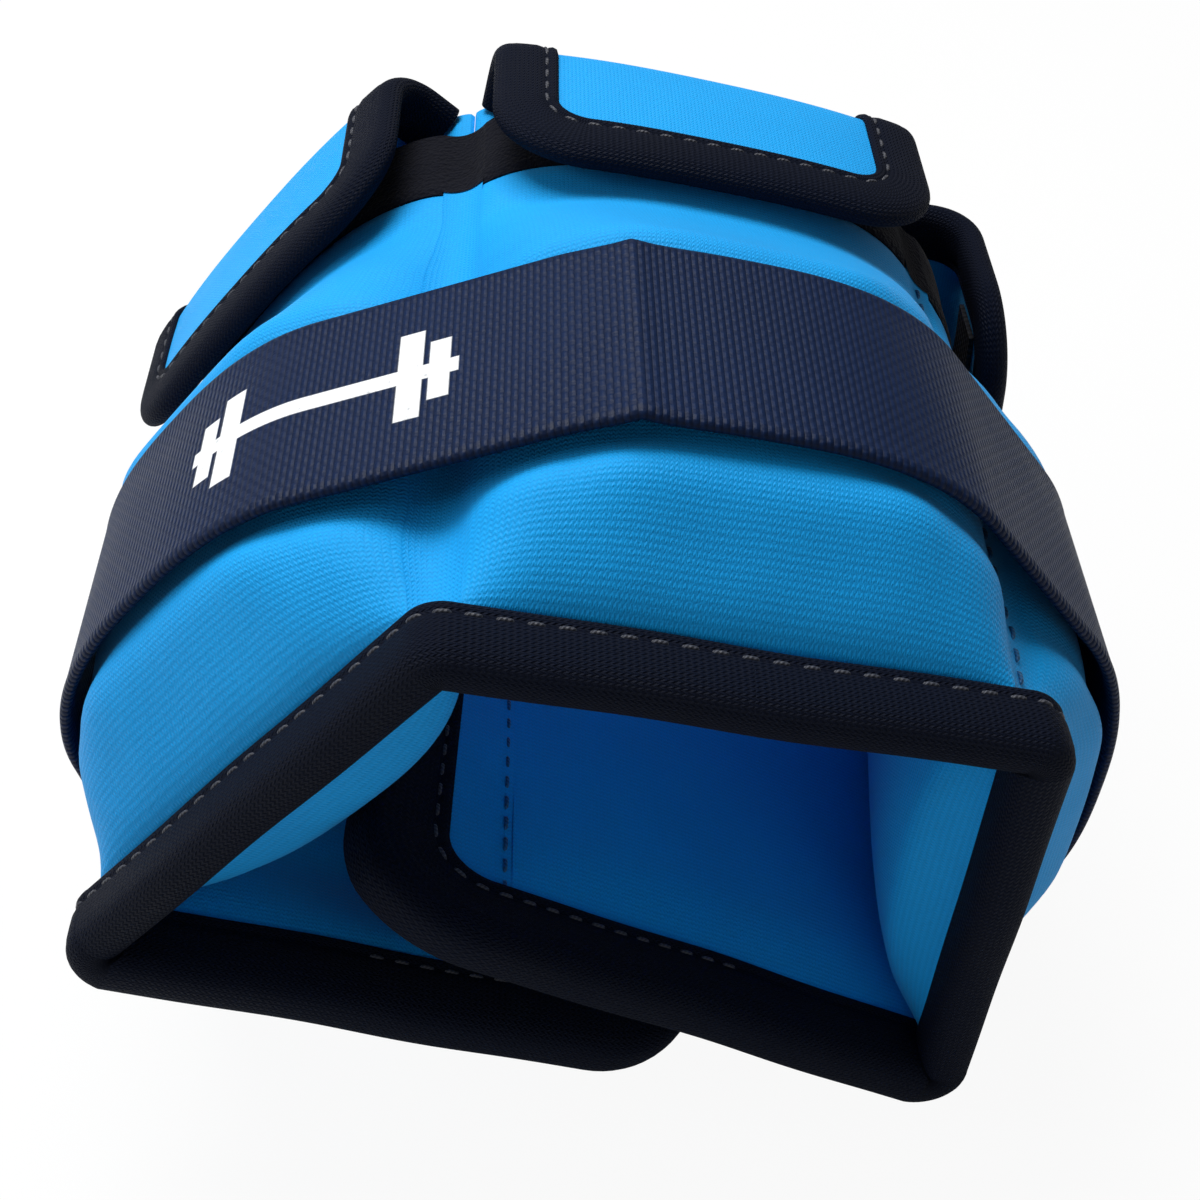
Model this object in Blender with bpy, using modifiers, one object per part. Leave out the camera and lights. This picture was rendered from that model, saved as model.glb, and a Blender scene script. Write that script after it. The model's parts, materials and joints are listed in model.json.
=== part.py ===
"""Ankle cuff weight, rolled up and strapped, lying on its side.

Five sewn pockets stand in a ring around the ankle opening. Each pocket has a lining on the
bore side, a domed outer face, a weight bag inside and a closing flap over its far mouth.
Local pocket frame: u from seam to seam, y along the cuff, v outwards from the bore.
Every seam is a hinge line at v = 0, so the pockets lie side by side when the cuff is unrolled.
"""
import math

import bpy
import numpy as np
from mathutils import Matrix, Vector

# Driving sizes, metres and degrees.
PITCH = 0.074              # seam to seam, one pocket
LENGTH = 0.132             # near rim to the fold of the flaps
BULGE = 0.0225             # bore side to the crown of a full pocket
FABRIC = 0.0024            # neoprene sheet
FLAP_SHEET = 0.0022        # the flaps are a little thinner
STRAP_WIDTH = 0.038        # webbing strap
STRAP_THICK = 0.0016
STRAP_START = 0.42         # share of the last pocket's pitch where the strap is sewn on
TAPE = 0.0008              # binding tape
TAPE_WIDTH = 0.008
TAB_A = 0.017              # inner end beyond its last seam
TAB_B = 0.0120             # outer end beyond its last seam
TAB_CORNER = 0.009
TAB_SHARE = 0.97           # of the cuff length
TURN = (103.5, 61.5, 78.2, 119.2)   # closed angle at seams 1-2, 2-3, 3-4 and 4-5
CLEAR = 0.0003             # between sheets that touch on the real cuff
SEAM_GAP = 0.001           # pocket edge to its seam line

# Sizes that follow from those.
FLANGE = 2 * FABRIC + CLEAR                  # two sheets sewn together at an edge
RISE_FROM = TAPE_WIDTH + 2 * CLEAR           # the bulge starts behind the rim tape
RISE_TO = 0.277 * LENGTH
FALL_FROM = 0.50 * LENGTH
MOUTH_SHARE = 0.55                            # height left at the mouth
FACE_END = 0.79 * LENGTH                     # face panel stops, loop band goes on
MOUTH = 0.918 * LENGTH
FLAP_FREE = 0.72 * LENGTH                    # free edge of the closed flap
STRAP_Y = 0.34 * LENGTH                      # strap centre line
FLAP_LIFT = 0.0030                           # flap mid sheet above the mouth
FLAP_HALF = PITCH / 2 - SEAM_GAP - TAPE - 6 * CLEAR
FLAP_CORNER = 0.008
FLAP_FOLD = 0.008
FLARE = 8.5                                  # degrees the outer end stands off, but for its rim
FLARE_END = 0.185 * LENGTH
HOOK = 0.001                                 # hook patch sheet
WEIGHT_FROM = 0.21 * LENGTH
WEIGHT_TO = 0.77 * LENGTH
WEIGHT_EDGE = 0.004                          # bag's side to the fabric
TIGHT_CORNER = 0.0012                        # smallest corner of a tape's inner edge
SIDE_LIFT = 0.0016                           # flap sides stand this much higher
HOOK_SHARE = 0.62                            # patch width as a share of the pitch
HOOK_FROM = 0.36                             # patch start, share of the free flap
HOOK_LONG = 0.28
TAIL_GRIP = 0.012                            # tail beyond the point where it lands
GRIP_HALF = 0.010

BEND_ROWS = [0.0] + [RISE_FROM + (FLARE_END - RISE_FROM) * s for s in (0, 0.15, 0.3, 0.5, 0.7, 0.85, 1)]

COLOURS = {
    "neoprene_blue": (0.01, 0.36, 0.82, 1),
    "binding_black": (0.012, 0.014, 0.022, 1),
    "loop_black": (0.015, 0.018, 0.028, 1),
    "hook_black": (0.02, 0.02, 0.024, 1),
    "strap_navy": (0.012, 0.022, 0.05, 1),
    "weight_grey": (0.16, 0.17, 0.18, 1),
}


def clear_scene():
    for thing in list(bpy.data.objects):
        bpy.data.objects.remove(thing, do_unlink=True)


def material(node, slot):
    made = bpy.data.materials.new(node + "." + slot)
    made.use_nodes = True
    shader = made.node_tree.nodes["Principled BSDF"]
    shader.inputs["Base Color"].default_value = COLOURS[slot]
    shader.inputs["Roughness"].default_value = 0.85
    return made


def smooth(x, low, high):
    """0 below low, 1 above high, eased between."""
    t = np.clip((x - low) / (high - low), 0.0, 1.0)
    return t * t * (3 - 2 * t)


def across(u):
    """Pillow section of a pocket from seam to seam, 0 to 1."""
    x = np.clip(abs(2 * u / PITCH - 1), 0.0, 1.0)
    return (1 - x ** 2.6) ** 0.625


def along(y):
    """How full the pocket is along the cuff."""
    t = np.clip((y - RISE_FROM) / (RISE_TO - RISE_FROM), 0.0, 1.0)
    return (1 - (1 - t) ** 2.2) ** 0.7 * (1 - (1 - MOUTH_SHARE) * smooth(y, FALL_FROM, FLAP_FREE))


def bulge(u, y):
    """Height of the outer surface over the bore side."""
    return FLANGE + (BULGE - FLANGE) * across(u) * along(y)


def mouth_height(u):
    return FLANGE + (BULGE - FLANGE) * across(u) * MOUTH_SHARE


def bend(u, y):
    """The rim of the outer end keeps close to the inner end while the rest stands off."""
    return -math.tan(math.radians(FLARE)) * (PITCH - u) * (1 - smooth(y, RISE_FROM, FLARE_END))


def frames():
    """Origin and angle of each pocket frame, walking the ring from the outer end."""
    angle = -sum(TURN[:2])
    point = Vector((0.0, 0.0))
    out = []
    for k in range(5):
        out.append((point.copy(), math.radians(angle)))
        step = Vector((math.cos(math.radians(angle)), -math.sin(math.radians(angle))))
        point = point + step * PITCH
        angle += TURN[k] if k < 4 else 0.0
    return out


def to_plane(frame, u, v):
    """Local u, v to the section plane x, z."""
    origin, a = frame
    return (origin.x + u * math.cos(a) + v * math.sin(a), origin.y - u * math.sin(a) + v * math.cos(a))


def over_crown(u, lift):
    """Point lifted square off the crown of a pocket, as local u, v."""
    step = 1e-5
    slope = (BULGE - FLANGE) * (across(u + step) - across(u - step)) / (2 * step)
    size = math.hypot(1, slope)
    v = FLANGE + (BULGE - FLANGE) * across(u)
    return u - lift * slope / size, v + lift / size


def strap_profile(frame, lift, count=61):
    """Points of a line lying on the crown of a pocket, in the section plane."""
    line = []
    for u in np.linspace(0.03 * PITCH, 0.97 * PITCH, count):
        line.append((u, *to_plane(frame, *over_crown(u, lift))))
    return line


def outer_tangent(first, second):
    """Straight line touching two profiles from outside: the pair of points it joins."""
    best = None
    points = np.array([p[1:] for p in first + second])
    for p in first:
        for q in second:
            run = np.array((q[1] - p[1], q[2] - p[2]))
            side = (points[:, 0] - p[1]) * run[1] - (points[:, 1] - p[2]) * run[0]
            worst = side.min() / np.linalg.norm(run)
            if best is None or worst > best[0]:
                best = (worst, p, q)
    return best[1], best[2]


def sheet(name, slot, place, columns, rows, shape, thick, offset):
    """One sheet: a grid shaped by a formula of (a, b) from 0 to 1, made solid."""
    bpy.ops.mesh.primitive_grid_add(x_subdivisions=columns, y_subdivisions=rows, size=1)
    made = bpy.context.object
    made.name = name
    made.data.name = name
    for vertex in made.data.vertices:
        vertex.co = shape(vertex.co.x + 0.5, vertex.co.y + 0.5)
    solid = made.modifiers.new("thickness", "SOLIDIFY")
    solid.thickness = thick
    solid.offset = offset
    return finish(made, slot, place)


def finish(made, slot, place):
    made.data.materials.clear()
    made.data.materials.append(material(made.name, slot))
    made.matrix_world = place
    for old in list(made.users_collection):
        old.objects.unlink(made)
    PARTS.objects.link(made)
    return made


def rounded(t, half, reach, radius):
    """Walk up one side, round a corner, across the end, round and down: t from 0 to 1."""
    knots = (0.0, 0.22, 0.36, 0.64, 0.78, 1.0)
    if t <= knots[1]:
        return -half, (reach - radius) * t / knots[1]
    if t <= knots[2]:
        turn = math.pi / 2 * (t - knots[1]) / (knots[2] - knots[1])
        return -half + radius * (1 - math.cos(turn)), reach - radius + radius * math.sin(turn)
    if t <= knots[3]:
        return (half - radius) * (2 * (t - knots[2]) / (knots[3] - knots[2]) - 1), reach
    if t <= knots[4]:
        turn = math.pi / 2 * (t - knots[3]) / (knots[4] - knots[3])
        return half - radius + radius * math.sin(turn), reach - radius + radius * math.cos(turn)
    return half, (reach - radius) * (1 - (t - knots[4]) / (1 - knots[4]))


def wrap(b, width):
    """Section of the binding tape folded over an edge: how far in from the edge, and which side."""
    out = TAPE / 2 + 2 * CLEAR
    inset = (width, -1.5 * CLEAR, -out, -out, -1.5 * CLEAR, width)
    side = (-1.0, -1.0, -0.7, 0.7, 1.0, 1.0)
    return np.interp(5 * b, range(6), inset), np.interp(5 * b, range(6), side)


def face(k, place, warp):
    rise = RISE_TO - RISE_FROM
    fall = FLAP_FREE - FALL_FROM
    ys = [0.0] + [RISE_FROM + rise * s for s in (0, 0.06, 0.16, 0.3, 0.55, 1)]
    ys += [FALL_FROM + fall * s for s in (0, 0.25, 0.5, 0.75, 1)] + [FACE_END]

    def shape(a, b):
        u = SEAM_GAP + (PITCH - 2 * SEAM_GAP) * (0.5 - 0.5 * math.cos(math.pi * a))
        y = float(np.interp(b, np.linspace(0, 1, len(ys)), ys))
        return u, y, bulge(u, y) + warp(u, y)

    sheet(f"face_{k}", "neoprene_blue", place, 12, len(ys) - 1, shape, FABRIC, -1)


def lining(k, place, warp):
    rows = BEND_ROWS + [LENGTH - CLEAR]
    steps = len(rows) - 1 if k == 1 else 1

    def shape(a, b):
        u = SEAM_GAP + (PITCH - 2 * SEAM_GAP) * a
        y = float(np.interp(b, np.linspace(0, 1, len(rows)), rows))
        return u, y, warp(u, y)

    sheet(f"lining_{k}", "neoprene_blue", place, 1, steps, shape, FABRIC, 1)


def band(k, place):
    def shape(a, b):
        u = SEAM_GAP + (PITCH - 2 * SEAM_GAP) * (0.5 - 0.5 * math.cos(math.pi * a))
        return u, FACE_END + CLEAR + (MOUTH - FACE_END) * b, mouth_height(u) - CLEAR

    sheet(f"loop_band_{k}", "loop_black", place, 12, 1, shape, STRAP_THICK, -1)


def weight(k, place):
    half = PITCH / 2 - SEAM_GAP - FABRIC - WEIGHT_EDGE
    low = FABRIC + 2 * CLEAR
    bpy.ops.mesh.primitive_uv_sphere_add(segments=16, ring_count=8, radius=1)
    made = bpy.context.object
    made.name = f"weight_{k}"
    made.data.name = made.name

    def square(x):
        return math.copysign(abs(x) ** 0.5, x)

    for vertex in made.data.vertices:
        x, y, z = vertex.co
        u = PITCH / 2 + half * square(x)
        top = mouth_height(u) - FABRIC - 3 * CLEAR
        vertex.co = (
            u,
            (WEIGHT_FROM + WEIGHT_TO) / 2 + (WEIGHT_TO - WEIGHT_FROM) / 2 * square(y),
            low + (top - low) * (0.5 + 0.5 * square(z)),
        )
    return finish(made, "weight_grey", place)


def flap_height(u):
    x = abs(2 * u / PITCH - 1)
    return mouth_height(u) + FLAP_LIFT + SIDE_LIFT * x ** 4


def flap_point(x, reach):
    """Mid surface of a flap: x across from the middle, reach along it from the hinge edge."""
    top = flap_height(PITCH / 2 + x)
    wall_y = -FABRIC / 2
    low = FABRIC + CLEAR * 2
    fold = min(FLAP_FOLD, top - low - 0.001)
    rise = top - fold - low
    arc = fold * math.pi / 2
    if reach <= rise:
        return Vector((x, wall_y, low + reach))
    if reach <= rise + arc:
        turn = (reach - rise) / fold
        return Vector((x, wall_y - fold + fold * math.cos(turn), top - fold + fold * math.sin(turn)))
    return Vector((x, wall_y - fold - (reach - rise - arc), top))


def flap_surface(x, share):
    """Point and outward normal of a flap at a share of its length."""
    step = 1e-4
    point = flap_point(x, share * flap_reach(x))
    more = flap_point(x, (share + step) * flap_reach(x)) - point
    wide = flap_point(x + step, share * flap_reach(x + step)) - point
    return point, more.cross(wide).normalized()


def flap_reach(x):
    """Length of the flap's mid surface at x, so its free edge is straight."""
    top = flap_height(PITCH / 2 + x)
    low = FABRIC + CLEAR * 2
    fold = min(FLAP_FOLD, top - low - 0.001)
    free = LENGTH - FLAP_FREE - TAPE - CLEAR
    return (top - fold - low) + fold * math.pi / 2 + free - FABRIC / 2 - fold


def flap(k, place):
    """Panel, its tape and its hook patch, all hinged on the far edge of the lining."""
    steps = (0.0, 0.20, 0.27, 0.34, 0.41, 0.48, 0.80, 0.90, 0.96, 1.0)
    longest = flap_reach(0.0)
    sides = [0.22 * s * longest / (longest - FLAP_CORNER) for s in steps[:7]]
    ends = [0.5 + 0.14 * math.sin(math.pi * (i / 14 - 0.5)) for i in range(15)]
    path = sides + [0.24, 0.26, 0.28, 0.30, 0.32, 0.34] + ends + [0.66, 0.68, 0.70, 0.72, 0.74, 0.76]
    path += [1 - s for s in reversed(sides)]

    def panel(a, b):
        part = float(np.interp(b, np.linspace(0, 1, len(steps)), steps))
        to_end = (1 - part) * flap_reach(0.0)
        short = max(0.0, 1 - to_end / FLAP_CORNER)
        half = FLAP_HALF - FLAP_CORNER * (1 - math.sqrt(1 - short * short))
        x = half * math.sin(math.pi * (a - 0.5))
        return flap_surface(x, part)[0]

    def tape(a, b):
        inset, side = wrap(b, TAPE_WIDTH - TAPE)
        full = flap_reach(0.0)
        t = float(np.interp(a * (len(path) - 1), range(len(path)), path))
        x, r = rounded(t, FLAP_HALF - inset, full - inset, max(FLAP_CORNER - inset, TIGHT_CORNER))
        point, normal = flap_surface(x, r / full)
        return point + normal * side * (FABRIC / 2 + 3 * CLEAR + TAPE / 2)

    def hook(a, b):
        x = (a - 0.5) * HOOK_SHARE * PITCH
        reach = flap_reach(x) - (LENGTH - FLAP_FREE) * (HOOK_FROM + HOOK_LONG * b)
        point, normal = flap_surface(x, reach / flap_reach(x))
        return point - normal * (FABRIC / 2 + CLEAR)

    sheet(f"flap_{k}", "neoprene_blue", place, 16, len(steps) - 1, panel, FLAP_SHEET, 0)
    sheet(f"flap_tape_{k}", "binding_black", place, len(path) - 1, 5, tape, TAPE, 0)
    sheet(f"flap_hook_{k}", "hook_black", place, 8, 1, hook, HOOK, -1)


def rim_tape(k, place, warp):
    ends = SEAM_GAP + 0.0011

    def shape(a, b):
        inset, side = wrap(b, TAPE_WIDTH)
        u = ends + (PITCH - 2 * ends) * a
        y = inset
        v = FLANGE / 2 + side * (FLANGE / 2 + CLEAR + TAPE / 2)
        return u, y, v + warp(u, y)

    sheet(f"rim_tape_{k}", "binding_black", place, 1, 5, shape, TAPE, 0)


def tab(name, place, sign, start, reach, warp):
    """Flat end of the cuff beyond the last pocket: panel and the tape round its three edges."""
    half = TAB_SHARE * LENGTH / 2
    rows = [y for y in BEND_ROWS[2:] if y > TAB_CORNER]
    inner = half - TAB_CORNER
    path = [0.0, 0.11, 0.22, 0.25, 0.29, 0.325, 0.36]
    path += [0.36 + 0.28 * ((y - half) / inner + 1) / 2 for y in rows]
    path += [0.64, 0.675, 0.71, 0.75, 0.78, 0.89, 1.0]

    def point(y, out, side):
        u = start + sign * out
        step = 1e-5
        slope_y = (warp(u, half + y + step) - warp(u, half + y - step)) / (2 * step)
        slope_u = (warp(u + step, half + y) - warp(u - step, half + y)) / (2 * step)
        normal = Vector((-slope_u, -slope_y, 1)).normalized()
        return Vector((u, half + y, FLANGE / 2 + warp(u, half + y))) + normal * side

    def panel(a, b):
        out = reach * b
        short = max(0.0, 1 - (reach - out) / TAB_CORNER)
        wide = half - TAB_CORNER * (1 - math.sqrt(1 - short * short))
        first = half - wide
        cuts = [first, max(RISE_FROM, first + 2 * CLEAR)] + BEND_ROWS[2:] + [1.4 * half, half + wide]
        y = float(np.interp(a * (len(cuts) - 1), range(len(cuts)), cuts))
        return point(y - half, out, 0)

    def tape(a, b):
        inset, side = wrap(b, TAPE_WIDTH)
        t = float(np.interp(a * (len(path) - 1), range(len(path)), path))
        y, out = rounded(t, half - inset, reach - inset, max(TAB_CORNER - inset, TIGHT_CORNER))
        return point(y, out, side * (FLANGE / 2 + 3 * CLEAR + TAPE / 2))

    sheet(f"tab_{name}", "neoprene_blue", place, len(BEND_ROWS) + 1, 6, panel, FLANGE, 0)
    sheet(f"tab_tape_{name}", "binding_black", place, len(path) - 1, 5, tape, TAPE, 0)


def ribbon(name, slot, place, line, low, high, thick, columns):
    """Strap piece along a line of (u, v) points, from y = low to y = high."""
    run = np.array(line)
    length = np.concatenate([[0], np.cumsum(np.hypot(*np.diff(run, axis=0).T))])

    def shape(a, b):
        at = a * length[-1]
        return float(np.interp(at, length, run[:, 0])), low + (high - low) * b, float(
            np.interp(at, length, run[:, 1]))

    return sheet(name, slot, place, columns, 1, shape, thick, 0)


def place_of(frame, y=0.0, u=0.0, v=0.0):
    x, z = to_plane(frame, u, v)
    return Matrix.Translation((x, y, z)) @ Matrix.Rotation(frame[1], 4, "Y")


def local(frame, x, z):
    """Section plane x, z to the local u, v of a frame."""
    origin, a = frame
    dx, dz = x - origin.x, z - origin.y
    return dx * math.cos(a) - dz * math.sin(a), dx * math.sin(a) + dz * math.cos(a)


def build():
    ring = frames()
    lift = 3 * CLEAR + STRAP_THICK / 2
    low, high = STRAP_Y - STRAP_WIDTH / 2, STRAP_Y + STRAP_WIDTH / 2
    lines = [strap_profile(f, lift) for f in ring]
    ties = [outer_tangent(lines[k], lines[k + 1]) for k in range(4)]
    # The strap closes under the cuff: its tail lies on the strap of the last pocket.
    over = STRAP_THICK + HOOK + 2 * CLEAR
    closing = outer_tangent(strap_profile(ring[4], lift + over), strap_profile(ring[0], lift))
    tail_from, tail_to = closing[1], closing[0]
    run = Vector((tail_to[1] - tail_from[1], tail_to[2] - tail_from[2]))
    tilt = math.atan2(run.y, run.x)
    # Turn the ring so the flat strap tail lies on the floor.
    turned = Matrix.Rotation(tilt, 2)
    ring = [(turned.inverted() @ o, a + tilt) for o, a in ring]

    def flat(u, y):
        return 0.0

    for k, frame in enumerate(ring, 1):
        place = place_of(frame)
        warp = bend if k == 1 else flat
        face(k, place, warp)
        lining(k, place, warp)
        band(k, place)
        weight(k, place)
        rim_tape(k, place, warp)
        flap(k, place_of(frame, LENGTH, PITCH / 2))
    tab("outer", place_of(ring[0]), -1, SEAM_GAP - 4 * CLEAR, TAB_B, bend)
    tab("inner", place_of(ring[4]), 1, PITCH - SEAM_GAP + CLEAR, TAB_A, flat)

    # Strap pieces on the crowns, and the free spans over the seams.
    for k in range(5):
        start = ties[k - 1][1][0] if k else tail_from[0]
        stop = ties[k][0][0] if k < 4 else STRAP_START * PITCH
        line = [over_crown(u, lift) for u in np.linspace(start + CLEAR, stop - CLEAR, 19)]
        ribbon(f"strap_{k + 1}", "strap_navy", place_of(ring[k]), line, low, high, STRAP_THICK, 18)
    for k, (p, q) in enumerate(ties):
        ends = [to_plane(ring[k], *over_crown(p[0], lift)), to_plane(ring[k + 1], *over_crown(q[0], lift))]
        a, b = (Vector(local(ring[k + 1], *e)) for e in ends)
        step = (b - a).normalized() * 2 * CLEAR
        span = f"strap_span_{k + 1}"
        ribbon(span, "strap_navy", place_of(ring[k + 1]), [a + step, b - step], low, high, STRAP_THICK, 2)

    # Tail, hinged on its outer surface where it leaves the first pocket's crown.
    start = Vector(to_plane(ring[0], *over_crown(tail_from[0], lift)))
    end = Vector(to_plane(ring[4], *over_crown(tail_to[0], lift + over)))
    length = (end - start).length + TAIL_GRIP
    place = Matrix.Translation((start.x, 0, start.y - STRAP_THICK / 2))
    tail = [(2 * CLEAR, STRAP_THICK / 2), (length, STRAP_THICK / 2)]
    ribbon("strap_tail", "strap_navy", place, tail, low, high, STRAP_THICK, 2)
    at = (end - start).length
    deep = STRAP_THICK + CLEAR + HOOK / 2
    patch = [(at - GRIP_HALF, deep), (at + GRIP_HALF, deep)]
    ribbon("strap_hook", "hook_black", place, patch, low + 0.002, high - 0.002, HOOK, 1)
    print("tilt", round(math.degrees(tilt), 3))
    return ring, start


def settle(ring, tail):
    """Move everything so the middle of the base is at the origin."""
    bpy.context.view_layer.update()
    graph = bpy.context.evaluated_depsgraph_get()
    corners = []
    for made in PARTS.objects:
        mesh = made.evaluated_get(graph).to_mesh()
        corners += [made.matrix_world @ v.co for v in mesh.vertices]
    low = Vector(min(c[i] for c in corners) for i in range(3))
    high = Vector(max(c[i] for c in corners) for i in range(3))
    shift = -Vector(((low.x + high.x) / 2, (low.y + high.y) / 2, low.z))
    for made in PARTS.objects:
        made.matrix_world = Matrix.Translation(shift) @ made.matrix_world
    print("size", [round(c * 1000, 2) for c in high - low])
    for k, (origin, angle) in enumerate(ring, 1):
        spot = [round(c, 6) for c in (origin.x + shift.x, shift.y, origin.y + shift.z)]
        print("pocket", k, "origin", spot, "angle", round(math.degrees(angle), 4))
    print("tail hinge", [round(c, 6) for c in (tail.x + shift.x, tail.y + shift.z - STRAP_THICK / 2)])
    print("flap hinge y", round(LENGTH + shift.y, 6))


clear_scene()
PARTS = bpy.data.collections.new("ankle_cuff_weight")
bpy.context.scene.collection.children.link(PARTS)
RING, TAIL = build()
settle(RING, TAIL)
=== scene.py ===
# %% [markdown]
# # An ankle cuff weight
#
# The cuff is five stuffed neoprene pockets sewn side by side, rolled into a ring and held by
# one webbing strap. This lesson dresses the imported CAD frame: every soft piece is rebuilt as
# sewn cloth in the place its CAD solid holds, and most pieces ride on the moving body of their part.

# %% Load the frame
import json
import math

import bmesh
import bpy
import numpy as np
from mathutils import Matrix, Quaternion, Vector

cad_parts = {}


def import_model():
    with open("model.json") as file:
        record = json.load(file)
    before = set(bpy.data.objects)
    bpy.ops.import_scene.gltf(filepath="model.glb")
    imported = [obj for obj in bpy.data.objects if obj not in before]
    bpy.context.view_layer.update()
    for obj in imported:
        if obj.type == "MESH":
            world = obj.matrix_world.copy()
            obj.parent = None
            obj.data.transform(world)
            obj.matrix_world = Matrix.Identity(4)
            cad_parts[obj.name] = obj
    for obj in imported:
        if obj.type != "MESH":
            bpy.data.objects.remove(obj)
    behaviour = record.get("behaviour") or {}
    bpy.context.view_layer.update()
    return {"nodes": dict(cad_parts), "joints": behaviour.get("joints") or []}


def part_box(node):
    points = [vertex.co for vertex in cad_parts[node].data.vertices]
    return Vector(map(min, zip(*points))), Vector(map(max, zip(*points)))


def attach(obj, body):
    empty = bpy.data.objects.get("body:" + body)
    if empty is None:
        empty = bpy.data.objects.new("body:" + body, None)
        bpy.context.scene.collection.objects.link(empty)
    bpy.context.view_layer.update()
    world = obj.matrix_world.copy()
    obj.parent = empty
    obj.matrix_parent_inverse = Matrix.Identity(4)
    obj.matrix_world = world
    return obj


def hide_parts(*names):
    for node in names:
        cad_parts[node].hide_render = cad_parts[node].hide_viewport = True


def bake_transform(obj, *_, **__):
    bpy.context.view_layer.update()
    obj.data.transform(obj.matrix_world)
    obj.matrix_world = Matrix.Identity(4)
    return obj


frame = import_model()
JOINTS = {joint["name"]: joint for joint in frame["joints"]}

# %% [markdown]
# ## Sizes
# Most sizes below are the driving sizes of the CAD part, in metres. The binding and the end
# corners are a little fuller than their plain CAD solids. The pocket frames come from the
# packed joints: u runs from seam to seam, y along the cuff from the near rim, and v outwards
# from the bore.

# %% Sizes and pocket frames
PITCH = 0.074
LENGTH = 0.132
BULGE = 0.0225
FABRIC = 0.0024
CLEAR = 0.0003
TAPE_WIDTH = 0.0084
FLANGE = 2 * FABRIC + CLEAR
RISE_FROM = 0.0086
RISE_TO = 0.277 * LENGTH
FALL_FROM = 0.50 * LENGTH
MOUTH_SHARE = 0.55
FACE_END = 0.79 * LENGTH
MOUTH = 0.918 * LENGTH
FLAP_FREE = 0.72 * LENGTH
STRAP_Y = 0.34 * LENGTH
STRAP_WIDTH = 0.038
STRAP_THICK = 0.0016
STRAP_LIFT = 3 * CLEAR + STRAP_THICK / 2
FLARE = math.radians(8.5)
FLARE_END = 0.185 * LENGTH
VALLEY = 0.0026
SEAM_EDGE = 0.0012
INNER_END = PITCH + 0.0163
OUTER_END = -0.0122
TAB_FAR = 0.97 * LENGTH
TAB_CORNER = 0.014
TAB_LEAN = 0.0055
RING = range(1, 6)


def pocket_frame(k):
    hinge = JOINTS[f"flap_{k}_hinge"]
    across_axis = -Vector(hinge["axis"])
    along_axis = Vector((0, 1, 0))
    out_axis = across_axis.cross(along_axis)
    corner = Vector(hinge["pos_m"]) - across_axis * PITCH / 2 - along_axis * LENGTH
    return np.array(corner), np.array([across_axis, along_axis, out_axis])


POCKETS = {k: pocket_frame(k) for k in RING}


def world(k, u, y, v):
    """Local u, y, v of pocket k as points in the shared frame."""
    origin, axes = POCKETS[k]
    return origin + np.stack(np.broadcast_arrays(u, y, v), -1) @ axes


def turn_at(k):
    """Closed angle at the seam between pocket k and the next."""
    cosine = POCKETS[k][1][2] @ POCKETS[k + 1][1][2]
    return math.acos(max(-1.0, min(1.0, cosine)))


def smooth(x, low, high):
    t = np.clip((x - low) / (high - low), 0.0, 1.0)
    return t * t * (3 - 2 * t)


print("seam turns", [round(math.degrees(turn_at(k)), 1) for k in range(1, 5)])

# %% [markdown]
# ## Mesh helpers
# Almost every piece of a sewn cuff is a long closed section: a tape folded over an edge, a
# sheet with its thickness, a strap. So one function lofts closed sections and gives them a
# UV map in real metres, which lets every weave keep its true scale.

# %% Loft helper


def new_object(name, mesh, material):
    made = bpy.data.objects.new(name, mesh)
    bpy.context.scene.collection.objects.link(made)
    if material is not None:
        mesh.materials.clear()
        mesh.materials.append(material)
    return made


def loft(name, rings, uv, material, closed=True, sharp=50):
    """Skins rings of shape (sections, points, 3). uv has one more point where the section is closed."""
    sections, points = rings.shape[:2]
    wrap = points if closed else points - 1
    row, col = np.meshgrid(np.arange(sections - 1), np.arange(wrap), indexing="ij")
    nxt = (col + 1) % points
    here, after = row * points, (row + 1) * points
    quads = np.stack((here + col, after + col, after + nxt, here + nxt), -1)
    corner_uv = np.stack((uv[row, col], uv[row + 1, col], uv[row + 1, col + 1], uv[row, col + 1]), -2)
    faces = quads.reshape(-1, 4).tolist()
    flat_uv = corner_uv.reshape(-1, 2)
    if closed:
        faces += [list(range(points)), list(range((sections - 1) * points, sections * points))]
        flat_uv = np.concatenate((flat_uv, uv[0, :points], uv[-1, :points]))
    mesh = bpy.data.meshes.new(name)
    mesh.from_pydata(rings.reshape(-1, 3).tolist(), [], faces)
    layer = mesh.uv_layers.new(name="UVMap")
    layer.data.foreach_set("uv", flat_uv.astype(np.float32).ravel())
    if closed:
        work = bmesh.new()
        work.from_mesh(mesh)
        bmesh.ops.recalc_face_normals(work, faces=work.faces)
        work.to_mesh(mesh)
        work.free()
    mesh.shade_smooth()
    mesh.set_sharp_from_angle(angle=math.radians(sharp))
    return new_object(name, mesh, material)


def lengths(line):
    """Running length along a line of points."""
    return np.concatenate(([0.0], np.cumsum(np.linalg.norm(np.diff(line, axis=0), axis=1))))


def sheet_piece(name, k, u, y, outer, inner, material):
    """A sheet with two faces, as sections of constant u."""
    u, y, outer, inner = np.broadcast_arrays(u, y, outer, inner)
    loop_u = np.concatenate((u, u[:, ::-1]), 1)
    loop_y = np.concatenate((y, y[:, ::-1]), 1)
    loop_v = np.concatenate((outer, inner[:, ::-1]), 1)
    uv = np.stack((loop_u, loop_y), -1) + 0.1 * k
    uv = np.concatenate((uv, uv[:, :1]), 1)
    return loft(name, world(k, loop_u, loop_y, loop_v), uv, material)


# %% [markdown]
# ## Shader maths
# Weaves are periodic, so each is written as arithmetic on the metre-scaled UV map. A small
# class wraps a node socket and lets Python operators add the math nodes.

# %% Socket arithmetic


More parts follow.
